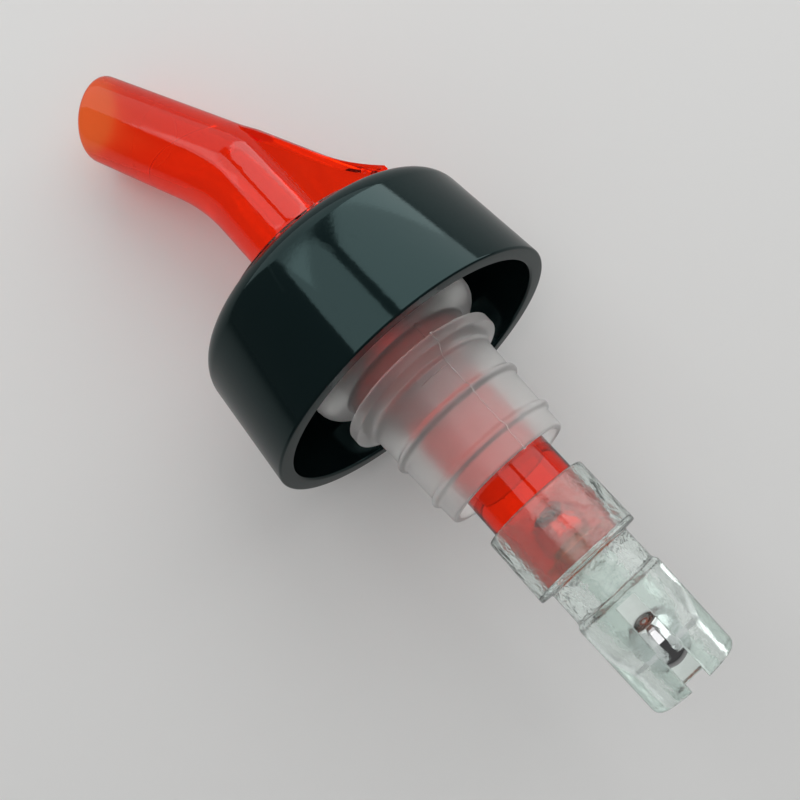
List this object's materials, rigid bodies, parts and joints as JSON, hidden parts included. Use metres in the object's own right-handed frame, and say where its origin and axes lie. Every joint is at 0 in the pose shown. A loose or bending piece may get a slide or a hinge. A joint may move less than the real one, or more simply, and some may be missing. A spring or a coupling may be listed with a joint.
{
  "type": "measured liquor pourer",
  "caption": "Bottle-top measured pourer: leaning spout on a skirted collar, finned stopper, metering tube with a rolling shut-off ball, and a slotted ball cage at its lower end.",
  "frame": {"origin": "on the stopper's axis, half way up the cylindrical edge of its top sealing fin", "axes": "+Z along the axis towards the spout, -Z into the bottle, and the spout leans towards -X"},
  "size_m": [0.04, 0.04, 0.1044],
  "materials": {
    "red_plastic": "clear red moulded plastic, high gloss",
    "black_plastic": "glossy green-black moulded plastic",
    "milky_plastic": "soft milky translucent plastic, satin",
    "white_plastic": "natural white plastic, satin",
    "clear_plastic": "clear moulded plastic with a faint green-grey cast",
    "polished_steel": "polished stainless steel"
  },
  "bodies": {
    "pourer": {"spout": "red_plastic", "collar": "black_plastic", "stopper": "milky_plastic", "metering_tube": "red_plastic", "valve_seat": "white_plastic", "cage": "clear_plastic"},
    "tube_ball": {"tube_ball": "polished_steel"},
    "cage_ball": {"cage_ball": "polished_steel"},
    "vent_ball": {"vent_ball": "polished_steel"}
  },
  "joints": [
    {"name": "tube_ball_roll", "type": "slide", "parent": "pourer", "child": "tube_ball", "axis": [0, 0, 1], "range_m": [0, 0.0242]},
    {"name": "cage_ball_roll", "type": "slide", "parent": "pourer", "child": "cage_ball", "axis": [0, 0, 1], "range_m": [0, 0.004]},
    {"name": "vent_ball_roll", "type": "slide", "parent": "pourer", "child": "vent_ball", "axis": [0, 0, 1], "range_m": [0, 0.0032]}
  ]
}
